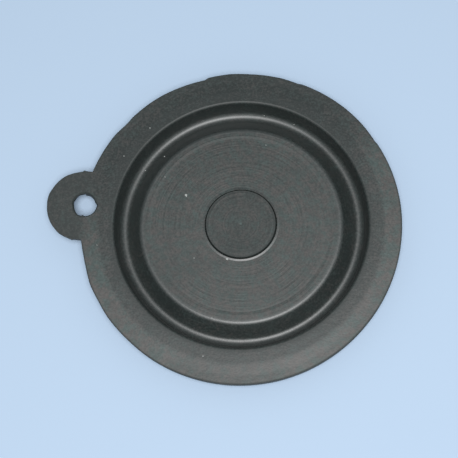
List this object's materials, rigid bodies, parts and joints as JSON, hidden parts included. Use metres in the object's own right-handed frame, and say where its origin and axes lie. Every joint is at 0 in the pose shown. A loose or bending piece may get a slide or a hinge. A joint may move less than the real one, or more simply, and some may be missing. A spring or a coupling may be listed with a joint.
{
  "type": "water heater diaphragm",
  "caption": "Round rubber diaphragm of a gas water heater's water valve, with a clamping flange, a deep rolling groove, a centre disc with a low boss, and an ear with a hole.",
  "frame": {"origin": "centre of the disc's underside, where the pressure plate bears", "axes": "+Z out of the groove's open side, towards the water chamber; -X from the centre towards the ear"},
  "size_m": [0.0825, 0.074, 0.0059],
  "materials": {
    "rubber": "matte"
  },
  "bodies": {
    "root": {"diaphragm": "rubber"}
  },
  "joints": []
}
